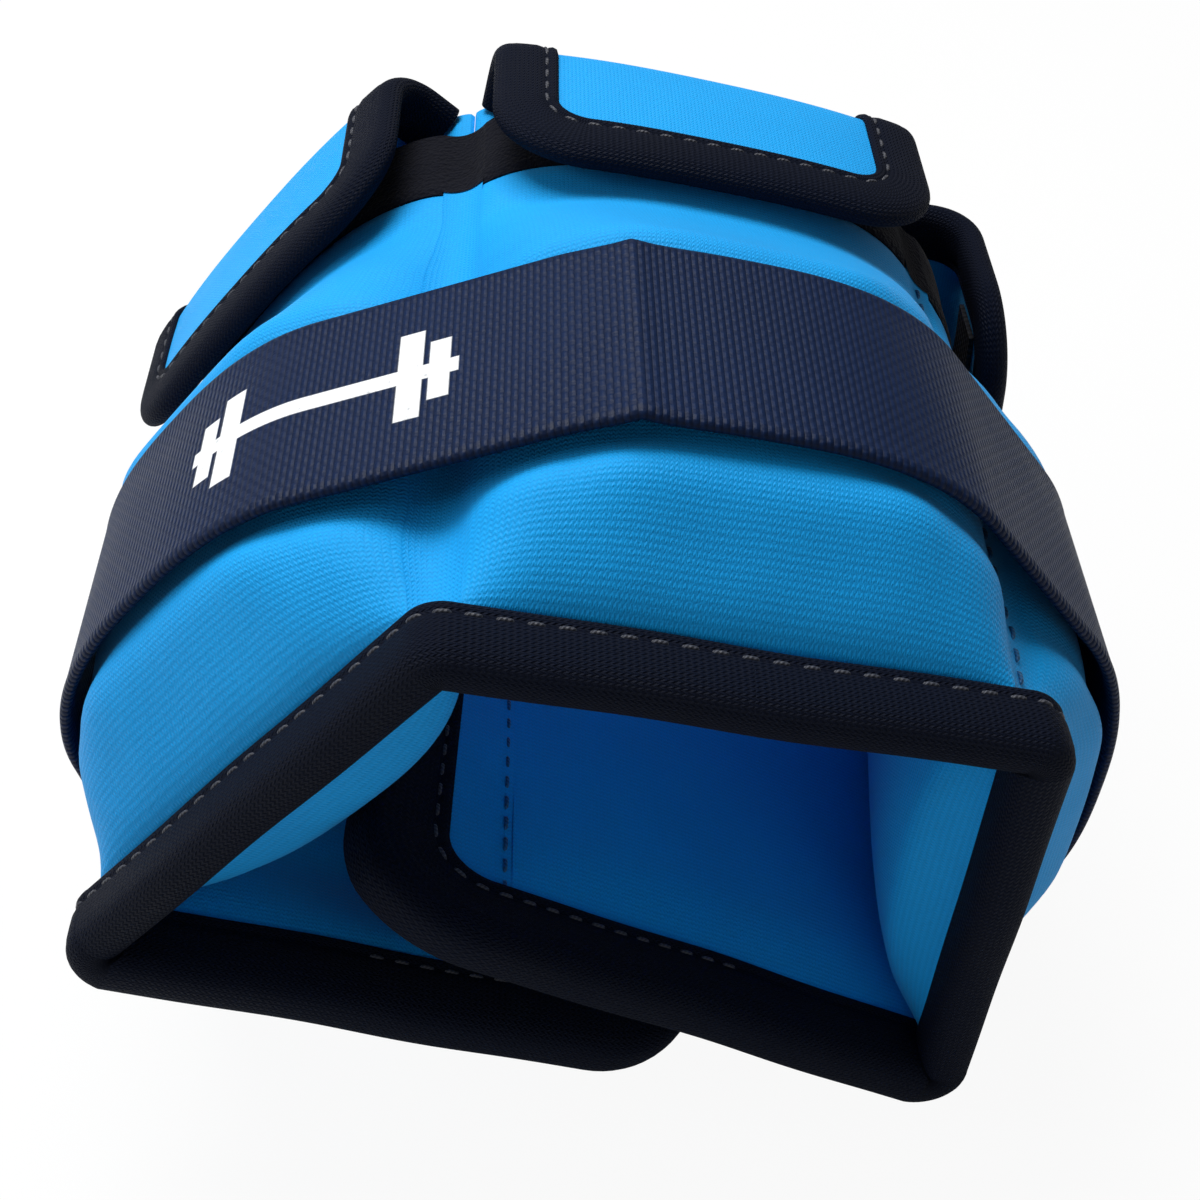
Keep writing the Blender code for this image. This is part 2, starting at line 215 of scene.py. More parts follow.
class Num:
    """A number flowing through a shader, with operators that add math nodes."""

    def __init__(self, tree, socket):
        self.tree = tree
        self.socket = socket

    def put(self, operation, *others):
        node = self.tree.nodes.new("ShaderNodeMath")
        node.operation = operation
        self.tree.links.new(self.socket, node.inputs[0])
        for slot, other in zip(list(node.inputs)[1:], others):
            if isinstance(other, Num):
                self.tree.links.new(other.socket, slot)
            else:
                slot.default_value = other
        return Num(self.tree, node.outputs[0])

    def __add__(self, other):
        return self.put("ADD", other)

    def __sub__(self, other):
        return self.put("SUBTRACT", other)

    def __mul__(self, other):
        return self.put("MULTIPLY", other)

    def __truediv__(self, other):
        return self.put("DIVIDE", other)

    __radd__ = __add__
    __rmul__ = __mul__

    def __rsub__(self, other):
        return self * -1 + other

    def __pow__(self, other):
        return self.put("POWER", other)

    def fract(self):
        return self.put("FRACT")

    def floor(self):
        return self.put("FLOOR")

    def abs(self):
        return self.put("ABSOLUTE")

    def min(self, other):
        return self.put("MINIMUM", other)

    def max(self, other):
        return self.put("MAXIMUM", other)

    def clamp(self):
        return self.max(0.0).min(1.0)

    def under(self, edge, soft):
        """1 where the value is under the edge, with a soft border."""
        return ((edge - self) / soft + 0.5).clamp()

    def ridge(self):
        """0 at each whole number and 1 halfway between."""
        return 1 - (self.fract() * 2 - 1).abs()


class Cloth:
    """One procedural material: a Principled shader with UV, noise and bump ready to use."""

    def __init__(self, name, rough, sheen=0.0, specular=0.3):
        self.made = bpy.data.materials.new(name)
        self.made.use_nodes = True
        self.tree = self.made.node_tree
        self.shader = self.tree.nodes["Principled BSDF"]
        self.shader.inputs["Roughness"].default_value = rough
        self.shader.inputs["Sheen Weight"].default_value = sheen
        self.shader.inputs["Sheen Roughness"].default_value = 0.4
        self.shader.inputs["Specular IOR Level"].default_value = specular
        place = self.tree.nodes.new("ShaderNodeUVMap")
        place.uv_map = "UVMap"
        self.uv = place.outputs["UV"]
        split = self.tree.nodes.new("ShaderNodeSeparateXYZ")
        self.tree.links.new(self.uv, split.inputs[0])
        self.x = Num(self.tree, split.outputs[0])
        self.y = Num(self.tree, split.outputs[1])
        spot = self.tree.nodes.new("ShaderNodeTexCoord")
        self.spot = spot.outputs["Object"]

    def noise(self, scale, detail=2.0, where=None):
        node = self.tree.nodes.new("ShaderNodeTexNoise")
        node.inputs["Scale"].default_value = scale
        node.inputs["Detail"].default_value = detail
        self.tree.links.new(where or self.spot, node.inputs["Vector"])
        return Num(self.tree, node.outputs["Fac"])

    def colour(self, factor, low, high):
        """Base Color running from low to high with the factor."""
        node = self.tree.nodes.new("ShaderNodeMix")
        node.data_type = "RGBA"
        node.inputs["A"].default_value = (*low, 1)
        node.inputs["B"].default_value = (*high, 1)
        self.tree.links.new(factor.socket, node.inputs["Factor"])
        return node

    def wear(self, mix):
        self.tree.links.new(mix.outputs["Result"], self.shader.inputs["Base Color"])

    def layer(self, under, factor, colour):
        """Another colour laid over a mix by a mask."""
        node = self.tree.nodes.new("ShaderNodeMix")
        node.data_type = "RGBA"
        node.inputs["B"].default_value = (*colour, 1)
        self.tree.links.new(under.outputs["Result"], node.inputs["A"])
        self.tree.links.new(factor.socket, node.inputs["Factor"])
        return node

    def roughness(self, value):
        self.tree.links.new(value.socket, self.shader.inputs["Roughness"])

    def bump(self, height, distance, strength=1.0):
        node = self.tree.nodes.new("ShaderNodeBump")
        node.inputs["Strength"].default_value = strength
        node.inputs["Distance"].default_value = distance
        self.tree.links.new(height.socket, node.inputs["Height"])
        self.tree.links.new(node.outputs["Normal"], self.shader.inputs["Normal"])


# %% [markdown]
# ## Materials
# The neoprene is faced with a fine weft knit: columns of little V loops, seen as soft rows.
# The binding is a denser knit, the strap a ribbed webbing, the bands under the flaps a loop
# pile. The colour is painted darker in the gaps between loops and ribs, as painted shade, and
# slow noise varies the dye and the sheen.

# %% Materials
KNIT_WALE, KNIT_COURSE, KNIT_SLANT = 0.00062, 0.00072, 0.5
TAPE_WALE, TAPE_COURSE, TAPE_SLANT = 0.0007, 0.0009, 0.6
RIB, FLOAT_PITCH, SELVEDGE = 0.00095, 0.0021, 0.0022
HOOK_PITCH = 0.0013
BAG_YARN = 0.0009
BAR_HALF = (0.0205, 0.0015)
PLATES = ((0.0136, 0.0018, 0.0092), (0.0178, 0.0015, 0.0062))  # distance out, half width, half height


def knit_height(cloth, wale, course, slant):
    """V loops in columns: 1 on the yarn, 0 in the gaps."""
    column = cloth.x / wale
    side = (column.fract() * 2 - 1).abs()
    legs = (cloth.y / course + side * slant).ridge()
    return legs * (1 - side ** 4.0) * 0.7 + legs * 0.3


def neoprene(name):
    cloth = Cloth(name, 0.62, sheen=0.06, specular=0.22)
    loops = knit_height(cloth, KNIT_WALE, KNIT_COURSE, KNIT_SLANT)
    cloud = cloth.noise(38.0, 3.0)
    grain = cloth.noise(2600.0, 1.0)
    # Painted shade: the loop height darkens the colour in the gaps between knit loops; cloud and grain add
    # random tone of the dye.
    shade = (loops * 0.34 + cloud * 0.42 + grain * 0.36).clamp()
    cloth.wear(cloth.colour(shade, (0.0, 0.215, 0.56), (0.0, 0.40, 0.93)))
    cloth.roughness(0.72 - cloud * 0.14)
    cloth.bump(loops * 0.7 + grain * 0.8, 0.00016, 0.7)
    return cloth.made


def binding():
    cloth = Cloth("binding_knit", 0.8, sheen=0.0, specular=0.10)
    loops = knit_height(cloth, TAPE_WALE, TAPE_COURSE, TAPE_SLANT)
    cloud = cloth.noise(60.0, 3.0)
    grain = cloth.noise(1800.0, 2.0)
    # Painted shade: the loop height darkens the colour in the gaps between knit loops; cloud and grain add
    # random tone of the dye.
    shade = (loops * 0.5 + cloud * 0.3 + grain * 0.3).clamp()
    cloth.wear(cloth.colour(shade, (0.0005, 0.0014, 0.0052), (0.0022, 0.0055, 0.0190)))
    cloth.roughness(0.62 + cloud * 0.2)
    cloth.bump(loops + grain * 0.6, 0.00025, 0.9)
    return cloth.made


def webbing(name, mark_at=None):
    """Ribs across the strap, each broken into staggered floats. A mark is printed mark_at metres along."""
    cloth = Cloth(name, 0.6, sheen=0.0, specular=0.14)
    rib = cloth.x / RIB
    rib_round = rib.ridge() ** 0.6
    float_row = (cloth.y / FLOAT_PITCH + rib.floor() * 0.5).ridge()
    weave = rib_round * (0.55 + float_row.under(0.55, 0.3) * 0.45)
    edge = ((cloth.y - STRAP_WIDTH / 2).abs() - (STRAP_WIDTH / 2 - SELVEDGE)).clamp() * 400
    cloud = cloth.noise(55.0, 3.0)
    grain = cloth.noise(2400.0, 1.0)
    # Painted shade: the rib and float height darkens the colour in the grooves between them; cloud and grain
    # add random tone, and the selvedge bands are darker.
    shade = (weave * 0.6 + cloud * 0.3 + grain * 0.2 - edge.clamp() * 0.2).clamp()
    mix = cloth.colour(shade, (0.0005, 0.0035, 0.0165), (0.0022, 0.0150, 0.064))
    height = weave + grain * 0.3
    if mark_at is not None:
        print_mask = dumbbell(cloth, mark_at)
        worn = (print_mask * (1.0 - (cloth.noise(900.0, 2.0) - 0.62).max(0.0) * 2.5)).clamp()
        mix = cloth.layer(mix, worn, (0.80, 0.82, 0.84))
        height = height * (1 - print_mask * 0.6) + print_mask * 1.0
    cloth.wear(mix)
    cloth.roughness(0.42 + cloud * 0.18)
    cloth.bump(height, 0.00022, 0.8)
    return cloth.made


def box_mask(cloth, x, y, half_x, half_y):
    """Soft rectangle in strap metres about a centre."""
    far = ((cloth.x - x).abs() - half_x).max((cloth.y - y).abs() - half_y)
    return far.under(0.0, 0.00018)


def dumbbell(cloth, x):
    """Plain dumbbell: a bar and two plates at each end."""
    y = STRAP_WIDTH / 2
    mask = box_mask(cloth, x, y, *BAR_HALF)
    for side in (-1, 1):
        for out, half_x, half_y in PLATES:
            mask = mask.max(box_mask(cloth, x + side * out, y, half_x, half_y))
    return mask


def pile():
    cloth = Cloth("loop_pile", 0.9, sheen=0.06, specular=0.1)
    tufts = cloth.noise(1500.0, 2.0)
    cloud = cloth.noise(70.0, 3.0)
    shade = (tufts * 0.7 + cloud * 0.3).clamp()
    cloth.wear(cloth.colour(shade, (0.0008, 0.001, 0.003), (0.006, 0.007, 0.014)))
    cloth.bump(tufts, 0.0006, 1.0)
    return cloth.made


def hooks():
    cloth = Cloth("hook_tape", 0.5, specular=0.45)
    dots = (cloth.x / HOOK_PITCH).ridge() * (cloth.y / HOOK_PITCH).ridge()
    # Painted highlight and shade: the hook tops are lighter and the gaps between hooks darker.
    cloth.wear(cloth.colour(dots, (0.004, 0.004, 0.006), (0.03, 0.03, 0.036)))
    cloth.bump(dots, 0.0007, 1.0)
    return cloth.made


def thread(name, dark, light):
    cloth = Cloth(name, 0.5, sheen=0.1, specular=0.4)
    twist = (cloth.x * 1600 + cloth.y * 900).ridge()
    # Painted shade: the colour is darker in the grooves between the twisted plies.
    cloth.wear(cloth.colour(twist, dark, light))
    cloth.bump(twist, 0.0001, 0.8)
    return cloth.made


def bag_cloth():
    cloth = Cloth("weight_bag_cloth", 0.8, sheen=0.1, specular=0.25)
    warp = (cloth.x / BAG_YARN).ridge()
    weft = (cloth.y / BAG_YARN).ridge()
    weave = warp.max(weft) * 0.6 + warp * weft * 0.4
    cloud = cloth.noise(60.0, 3.0)
    # Painted shade: the weave height darkens the colour in the gaps between warp and weft; cloud adds random
    # tone.
    cloth.wear(cloth.colour((weave * 0.5 + cloud * 0.5).clamp(), (0.09, 0.095, 0.10), (0.20, 0.21, 0.22)))
    cloth.bump(weave + cloud, 0.0003, 0.9)
    return cloth.made


BLUE = neoprene("neoprene_knit")
BINDING = binding()
WEBBING = webbing("strap_webbing")
PILE = pile()
HOOKS = hooks()
DARK_THREAD = thread("binding_thread", (0.012, 0.014, 0.022), (0.05, 0.055, 0.075))
SEAM_THREAD = thread("seam_thread", (0.002, 0.05, 0.13), (0.004, 0.12, 0.30))
BAG = bag_cloth()
print("materials", len(bpy.data.materials))

# %% [markdown]
# ## The pocket's outer shape
# A filled pocket is a pillow: it climbs steeply from its seams, is fullest in the middle and
# drops a little to its mouth. Stitches gather the neoprene beside each seam and behind the
# binding, and the strap presses a shallow trough with a swell on both sides.

# %% Pocket shape


def fullness(u, square=2.6, shoulder=0.7):
    """0 at the seams and 1 at the crown. A higher power is squarer, a lower shoulder steeper."""
    x = np.clip(np.abs(2 * u / PITCH - 1), 0.0, 1.0)
    return (1 - x**square) ** shoulder


def pillow(u, y):
    """Fullness away from the strap, where the filling spreads towards the seams and leaves a tight crease."""
    past = np.abs(y - STRAP_Y) - STRAP_WIDTH / 2
    free = smooth(past, -0.002, 0.006) * (1 - smooth(y, 0.62 * LENGTH, FLAP_FREE))
    return fullness(u, 2.6 + 2.0 * free)


def along(y):
    t = np.clip((y - RISE_FROM) / (RISE_TO - RISE_FROM), 0.0, 1.0)
    return (1 - (1 - t) ** 2.2) ** 0.7 * (1 - (1 - MOUTH_SHARE) * smooth(y, FALL_FROM, FLAP_FREE))


def flare(k, u, y):
    """The outer end's rim keeps close to the inner end."""
    if k != 1:
        return 0.0 * u
    return -math.tan(FLARE) * (PITCH - u) * (1 - smooth(y, RISE_FROM, FLARE_END))


def puckers(k, u, y):
    seam = np.minimum(u, PITCH - u)
    beside = np.exp(-np.abs(seam - 0.003) / 0.0045) * np.sin(y / 0.0017 + 2.1 * k + 0.7 * np.sin(y / 0.011))
    behind = np.exp(-np.abs(y - RISE_FROM - 0.003) / 0.006) * np.sin(u / 0.0023 + 1.3 * k + np.sin(u / 0.013))
    slow = np.sin(u / 0.0105 + 1.7 * k) * np.sin(y / 0.0145 + 0.9 * k)
    return (0.00022 * beside + 0.00020 * behind + 0.00045 * slow) * np.minimum(1, 3 * fullness(u))


def strap_press(u, y):
    past = np.abs(y - STRAP_Y) - STRAP_WIDTH / 2
    swell = 0.0016 * np.exp(-((past - 0.004) / 0.0045) ** 2)
    trough = -0.0005 * (1 - smooth(past, -0.004, 0.001))
    return (swell + trough) * smooth(fullness(u), 0.7, 0.95)


def face_height(k, u, y):
    base = VALLEY + (FLANGE - VALLEY) * (1 - smooth(y, 0.004, 0.016))
    height = base + (BULGE - base) * pillow(u, y) * along(y)
    return height + (puckers(k, u, y) + strap_press(u, y)) * smooth(y, RISE_FROM, RISE_FROM + 0.008)


def cosine_steps(low, high, count):
    return low + (high - low) * (0.5 - 0.5 * np.cos(np.pi * np.linspace(0, 1, count)))


# %% Pocket faces
FACE_YS = np.concatenate((
    np.linspace(0.002, RISE_FROM, 6)[:-1],
    RISE_FROM + (RISE_TO - RISE_FROM) * np.linspace(0, 1, 34)[:-1] ** 1.5,
    np.linspace(RISE_TO, MOUTH - 0.001, 60),
))


def face_piece(k):
    u = cosine_steps(SEAM_EDGE, PITCH - SEAM_EDGE, 73)[:, None]
    y = FACE_YS[None, :]
    tuck = 0.0007 * smooth(y, FACE_END - 0.003, FACE_END)
    outer = face_height(k, u, y) - tuck + flare(k, u, y)
    made = sheet_piece(f"pocket_face_{k}", k, u, y, outer, outer - FABRIC, BLUE)
    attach(made, f"pocket_{k}")
    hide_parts(f"face_{k}")
    return made


for k in RING:
    face_piece(k)

# %% [markdown]
# ## Linings
# The bore side of a pocket is one sheet of the same neoprene. The weights push some of the
# linings well into the bore, most of all the second pocket's. Neighbouring linings end a hair
# short of the seam line, which is the hinge line, so they meet there at every angle.

# %% Linings


LINING_EDGE = 0.00005
LINING_SWELL = 0.0013
BELLY = {2: 0.0150, 3: 0.0008, 4: 0.0075}


def lining_piece(k):
    u = cosine_steps(LINING_EDGE, PITCH - LINING_EDGE, 49)[:, None]
    y = np.linspace(0.002, LENGTH - 0.0004, 90)[None, :]
    inward = LINING_SWELL * fullness(u) * smooth(y, 0.004, 0.02) * (1 - smooth(y, 0.09, LENGTH))
    belly = BELLY.get(k, 0.0) * fullness(u) * smooth(y, 0.003, 0.013) * (1 - smooth(y, 0.02, 0.09))
    wave = 0.0003 * np.sin(u / 0.009 + k) * np.sin(y / 0.012 + 2 * k) * fullness(u)
    bore = wave - inward - belly + flare(k, u, y)
    hidden = bore + FABRIC * np.minimum(1.0, 0.25 + 3 * fullness(u))
    made = sheet_piece(f"pocket_lining_{k}", k, u, y, hidden, bore, BLUE)
    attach(made, f"pocket_{k}")
    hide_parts(f"lining_{k}")


for k in RING:
    lining_piece(k)
print("five linings")

# %% [markdown]
# ## Loop bands
# A band of loop pile is sewn on the face just before the mouth, for the flap's hook patch.

# %% Loop bands


def band_piece(k):
    u = cosine_steps(SEAM_EDGE, PITCH - SEAM_EDGE, 61)[:, None]
    y = np.linspace(FACE_END - 0.0006, MOUTH, 22)[None, :]
    lip = 0.0006 * (1 - smooth(y, FACE_END - 0.0006, FACE_END + 0.0008))
    outer = face_height(k, u, y) + 0.0004 - lip
    made = sheet_piece(f"pocket_loop_band_{k}", k, u, y, outer, outer - STRAP_THICK, PILE)
    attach(made, f"pocket_{k}")
    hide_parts(f"loop_band_{k}")


for k in RING:
    band_piece(k)
print("five loop bands")

# %% [markdown]
# ## Seam valleys
# Between two pillows the skin runs down one wall and up the next without a gap. Each valley
# is its own strip, built across the seam where the two pockets meet.

# %% Seam valleys


def valley_piece(name, k, y, lift, material):
    """Skin across the bottom of the valley at seam k."""
    first = world(k, PITCH - SEAM_EDGE, y, face_height(k, PITCH - SEAM_EDGE, y) + lift)
    last = world(k + 1, SEAM_EDGE, y, face_height(k + 1, SEAM_EDGE, y) + lift)
    low = (world(k, PITCH, y, VALLEY * 0.7) + world(k + 1, 0.0, y, VALLEY * 0.7)) / 2
    t = np.linspace(0, 1, 15)[None, :, None]
    skin = (1 - t) ** 2 * first[:, None] + 2 * t * (1 - t) * low[:, None] + t**2 * last[:, None]
    run = np.broadcast_to(lengths(skin[0])[None, :], skin.shape[:2])
    uv = np.stack((run, np.broadcast_to(y[:, None], skin.shape[:2])), -1)
    made = loft(name, skin, uv, material, closed=False)
    start = world(k, PITCH - SEAM_EDGE, 0.05, 0.006)
    end = world(k + 1, SEAM_EDGE, 0.05, 0.006)
    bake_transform(made)


for k in range(1, 5):
    valley_piece(f"seam_valley_{k}", k, np.linspace(0.004, FACE_END, 90), 0.0, BLUE)
    valley_piece(f"seam_band_{k}", k, np.linspace(FACE_END - 0.0004, MOUTH, 16), 0.0004, PILE)
print("four seams bridged")

# %% [markdown]
# ## Binding
# A knitted tape is folded over every raw edge and topstitched. Its section is a soft U: two
# legs, a round front, and a groove where the stitches pull it down. The same section is
# swept along the near rim, round both ends of the cuff and round each flap.

# %% Binding section
LEG = FLANGE / 2
STITCH_IN = 0.0019   # stitch line to the tape's inner edge
STITCH_UP = 0.0007   # top of the cloth at the stitch line, above the leg


def tape_section(leg, width, proud=0.0010):
    """Closed U section as inset from the edge and height about the middle of the fabric."""
    groove = width - STITCH_IN
    inset = np.array([width, width - 0.0002, width - 0.0008, groove + 0.0005, groove, groove - 0.0005,
                      width * 0.6, width * 0.4, width * 0.22, 0.0012])
    rise = np.array([0.15, 0.7, 0.95, 0.82, 0.55, 0.85, 1.1, 1.15, 1.15, 1.05]) * proud
    turn = np.linspace(math.pi / 2, 0, 9)[1:]
    front_in = 0.0012 - 0.0030 * np.cos(turn)
    front_up = (leg + 1.05 * proud) * np.sin(turn)
    half_in = np.concatenate((inset, front_in))
    half_up = np.concatenate((leg + rise, front_up))
    back_in = half_in[:-1][::-1]
    back_up = -half_up[:-1][::-1]
    core = leg * 0.8
    core_in = np.array([width - 0.0004, 0.0022, 0.0022, width - 0.0004])
    core_up = np.array([-core, -core, core, core])
    return np.concatenate((half_in, back_in, core_in)), np.concatenate((half_up, back_up, core_up))


def section_run(inset, up):
    """Length round a section, with the closing step."""
    ring = np.stack((inset, up), -1)
    return lengths(np.concatenate((ring, ring[:1])))


def sweep(name, rings, run, section, material=None):
    """A tape from its rings: UV in metres along and round."""
    uv = np.stack(np.broadcast_arrays(section[None, :], run[:, None]), -1)
    return loft(name, rings, uv, material or BINDING, sharp=70)


def outline(corners, radius, step=0.0010):
    """Points, inward normals and lengths along an open line with rounded corners."""
    corners = [np.array(c, float) for c in corners]
    points, normals = [], []
    start = corners[0]
    for i in range(1, len(corners)):
        way = (corners[i] - corners[i - 1]) / np.linalg.norm(corners[i] - corners[i - 1])
        left = np.array((-way[1], way[0]))
        last = i == len(corners) - 1
        stop = corners[i] if last else corners[i] - way * radius
        count = max(2, round(np.linalg.norm(stop - start) / step))
        for t in np.linspace(0, 1, count, endpoint=last):
            points.append(start + (stop - start) * t)
            normals.append(left)
        if not last:
            out = (corners[i + 1] - corners[i]) / np.linalg.norm(corners[i + 1] - corners[i])
            hub = stop + left * radius
            for t in np.linspace(0, math.pi / 2, 16, endpoint=False):
                away = -left * math.cos(t) + way * math.sin(t)
                points.append(hub + away * radius)
                normals.append(-away)
            start = corners[i] + out * radius
    points, normals = np.array(points), np.array(normals)
    return points, normals, lengths(points)


# %% Rim binding over the seams
SECTION_IN, SECTION_UP = tape_section(LEG, TAPE_WIDTH)
SECTION_RUN = section_run(SECTION_IN, SECTION_UP)
RIM_STITCH = TAPE_WIDTH - STITCH_IN


ROLLED = {1: 0.0016, 2: 0.0, 3: 0.0, 4: 0.0006, 5: 0.0018}


def roll_out(k, inset, v):
    """The lower rims roll out a little, so their binding is fuller towards the outside and the front."""
    front = smooth(-inset, -0.004, 0.0018)
    more = smooth(v, 0.0, 2 * LEG)
    return inset - ROLLED[k] * 0.7 * front, v + ROLLED[k] * more


def rim_wobble(k, u):
    """A hand-fed tape never runs dead straight."""
    return 0.00035 * np.sin(u / 0.0085 + 1.9 * k) * np.sin(math.pi * np.clip(u / PITCH, 0, 1)) ** 2


def rim_point(k, run, inset, up):
    """Rim tape round seam k. run is the length before or after the seam, or a turn inside the corner."""
    turn = turn_at(k)
    v = LEG + up
    mitre = np.where(v < 0, -v * math.tan(turn / 2), 0.0)
    origin, axes = POCKETS[k]
    seam = world(k, PITCH, 0.0, 0.0)
    rolled = roll_out(k, inset, v), roll_out(k + 1, inset, v)
    rows = []
    for kind, value in run:
        if kind == "before":
            u = np.minimum(PITCH + value, PITCH - mitre)
            s, w = rolled[0]
            rows.append(world(k, u, s + rim_wobble(k, u), w + flare(k, u, inset)))
        elif kind == "after":
            u = np.maximum(value, mitre)
            s, w = rolled[1]
            rows.append(world(k + 1, u, s + rim_wobble(k + 1, u), w))
        else:
            share = value / turn
            s, w = ((1 - share) * first + share * last for first, last in zip(*rolled))
            away = math.cos(value) * axes[2] + math.sin(value) * axes[0]
            arc = seam + w[:, None] * away + s[:, None] * axes[1]
            inside = world(k, PITCH - mitre, s, w)
            rows.append(np.where((v < 0)[:, None], inside, arc))
    return np.array(rows)


def rim_run(k):
    steps = [("before", s) for s in np.linspace(-PITCH / 2, 0, 60)]
    steps += [("turn", a) for a in np.linspace(0, turn_at(k), 16)[1:-1]]
    steps += [("after", s) for s in np.linspace(0, PITCH / 2, 60)]
    return steps


def over_seam(made, k):
    start = world(k, PITCH - 0.002, 0.0, LEG * 1.6)
    end = world(k + 1, 0.002, 0.0, LEG * 1.6)
    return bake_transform(made, f"pocket_{k}", f"pocket_{k + 1}", start=tuple(start), end=tuple(end))


STITCH_LINES = []


def keep_line(name, points, up, place, thread_material):
    STITCH_LINES.append((name, points, up, place, thread_material))


for k in range(1, 5):
    run = rim_run(k)
    rings = rim_point(k, run, SECTION_IN, SECTION_UP)
    middle = lengths(rings[:, 8])
    made = sweep(f"rim_binding_{k}", rings, middle, SECTION_RUN)
    over_seam(made, k)
    top = rim_point(k, run, np.array([RIM_STITCH]), np.array([LEG + STITCH_UP]))[:, 0]
    lower = rim_point(k, run, np.array([RIM_STITCH]), np.array([LEG - STITCH_UP]))[:, 0]
    keep_line(f"rim_stitches_{k}", top, top - lower, lambda o, k=k: over_seam(o, k), DARK_THREAD)
print("rim binding over four seams")

# %% Binding round the two ends


def end_path(k):
    """Outline of an end of the cuff from the middle of its pocket's rim, round and back to the far side."""
    if k == 5:
        corners = [(PITCH / 2, 0), (INNER_END, 0), (INNER_END, TAB_FAR), (PITCH - 0.004, TAB_FAR)]
        return outline(corners, TAB_CORNER)
    corners = [(-PITCH / 2, 0), (-OUTER_END, 0), (-OUTER_END, TAB_FAR), (-0.004, TAB_FAR)]
    points, normals, run = outline(corners, TAB_CORNER)
    return points * (-1, 1), normals * (-1, 1), run


def tab_lean(k, u, y):
    """The inner end was cut a little aslant: it reaches further towards the near rim."""
    if k == 1:
        return 0.0 * u
    return TAB_LEAN * (1 - smooth(y, 0.0, 0.08)) * np.clip((u - PITCH) / (INNER_END - PITCH), 0.0, 1.0)


def end_point(k, path, inset, up):
    points, normals, _ = path
    inset, v = roll_out(k, inset, LEG + up)
    u = points[:, :1] + normals[:, :1] * inset
    y = points[:, 1:] + normals[:, 1:] * inset
    wobble = rim_wobble(k, u) * (points[:, 1:] < 0.0001)
    return world(k, u + tab_lean(k, u, y), y + wobble, v + flare(k, u, y))


def end_binding(k, name, nodes):
    path = end_path(k)
    rings = end_point(k, path, SECTION_IN, SECTION_UP)
    made = sweep(f"{name}_end_binding", rings, path[2], SECTION_RUN)
    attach(made, f"pocket_{k}")
    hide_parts(*nodes)
    for side, label in ((1, "outside"), (-1, "bore")):
        on = end_point(k, path, np.array([RIM_STITCH]), np.array([side * (LEG + STITCH_UP)]))[:, 0]
        under = end_point(k, path, np.array([RIM_STITCH]), np.array([side * (LEG - STITCH_UP)]))[:, 0]
        keep_line(f"{name}_end_stitches_{label}", on, on - under,
                  lambda o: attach(o, f"pocket_{k}"), DARK_THREAD)


end_binding(1, "outer", ["tab_tape_outer", "rim_tape_1", "rim_tape_2", "rim_tape_3"])
end_binding(5, "inner", ["tab_tape_inner", "rim_tape_4", "rim_tape_5"])
print("binding round both ends")

# %% [markdown]
# ## The two free ends
# Beyond the first and last seam the two sheets are sewn flat to each other.

# %% End panels


def end_panel(k, name, near, far, node):
    s = np.linspace(0, 1, 22)[:, None]
    u = near + (far - near) * s
    left = np.maximum(0.0, 1 - np.abs(far - u) / TAB_CORNER)
    cut = TAB_CORNER * (1 - np.sqrt(np.clip(1 - left**2, 0, 1))) + 0.0008
    y = cut + (TAB_FAR - 2 * cut) * np.linspace(0, 1, 90)[None, :]
    dip = 0.0005 * np.exp(-np.abs(u - near) / 0.0012)
    wave = 0.00025 * np.sin(y / 0.006 + k)
    shift = flare(k, u, y) + wave
    u = u + tab_lean(k, u, y)
    made = sheet_piece(f"{name}_end_panel", k, u, y, FLANGE - dip + shift, dip * 0 + shift, BLUE)
    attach(made, f"pocket_{k}")
    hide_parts(node)
    for side, label in ((1, "outside"), (-1, "bore")):
        y = np.linspace(TAPE_WIDTH, TAB_FAR - TAPE_WIDTH, 60)
        level = FLANGE + 0.0001 if side > 0 else -0.0002
        spot = near + math.copysign(0.0012, far - near)
        on = world(k, spot, y, level + flare(k, np.full_like(y, spot), y))
        up = np.broadcast_to(POCKETS[k][1][2] * side, on.shape)
        keep_line(f"{name}_seam_stitches_{label}", on, up, lambda o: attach(o, f"pocket_{k}"), SEAM_THREAD)


end_panel(1, "outer", 0.0, OUTER_END + 0.001, "tab_outer")
end_panel(5, "inner", PITCH, INNER_END - 0.001, "tab_inner")
print("two end panels")

# %% [markdown]
# ## Flaps
# Each flap is hinged on the far edge of its lining, folds over the mouth and is held down by
# a hook patch. It rests on the pocket and its binding lifts at both sides over the valleys.

# %% Flap surface
FLAP_HALF = PITCH / 2 - 0.0024
FLAP_LIFT = 0.0030
FLAP_DROOP = 0.0026
FLAP_FOLD = 0.008
FLAP_LOW = FABRIC + 2 * CLEAR
FLAP_WALL = -FABRIC / 2
FLAP_CORNER = 0.0135
FLAP_LEG = 0.0013
FLAP_STITCH_UP = 0.0006


def cad_fullness(u):
    """Fullness of the CAD pocket, which the strap and the flaps were laid on."""
    return fullness(u, shoulder=0.625)


def flap_top(x):
    share = np.abs(2 * x / PITCH)
    return FLANGE + (BULGE - FLANGE) * MOUTH_SHARE + FLAP_LIFT - FLAP_DROOP * share**2.6


def flap_full(x):
    top = flap_top(x)
    fold = np.minimum(FLAP_FOLD, top - FLAP_LOW - 0.001)
    return top - fold - FLAP_LOW + fold * math.pi / 2 + LENGTH - FLAP_FREE - 0.0023 - fold


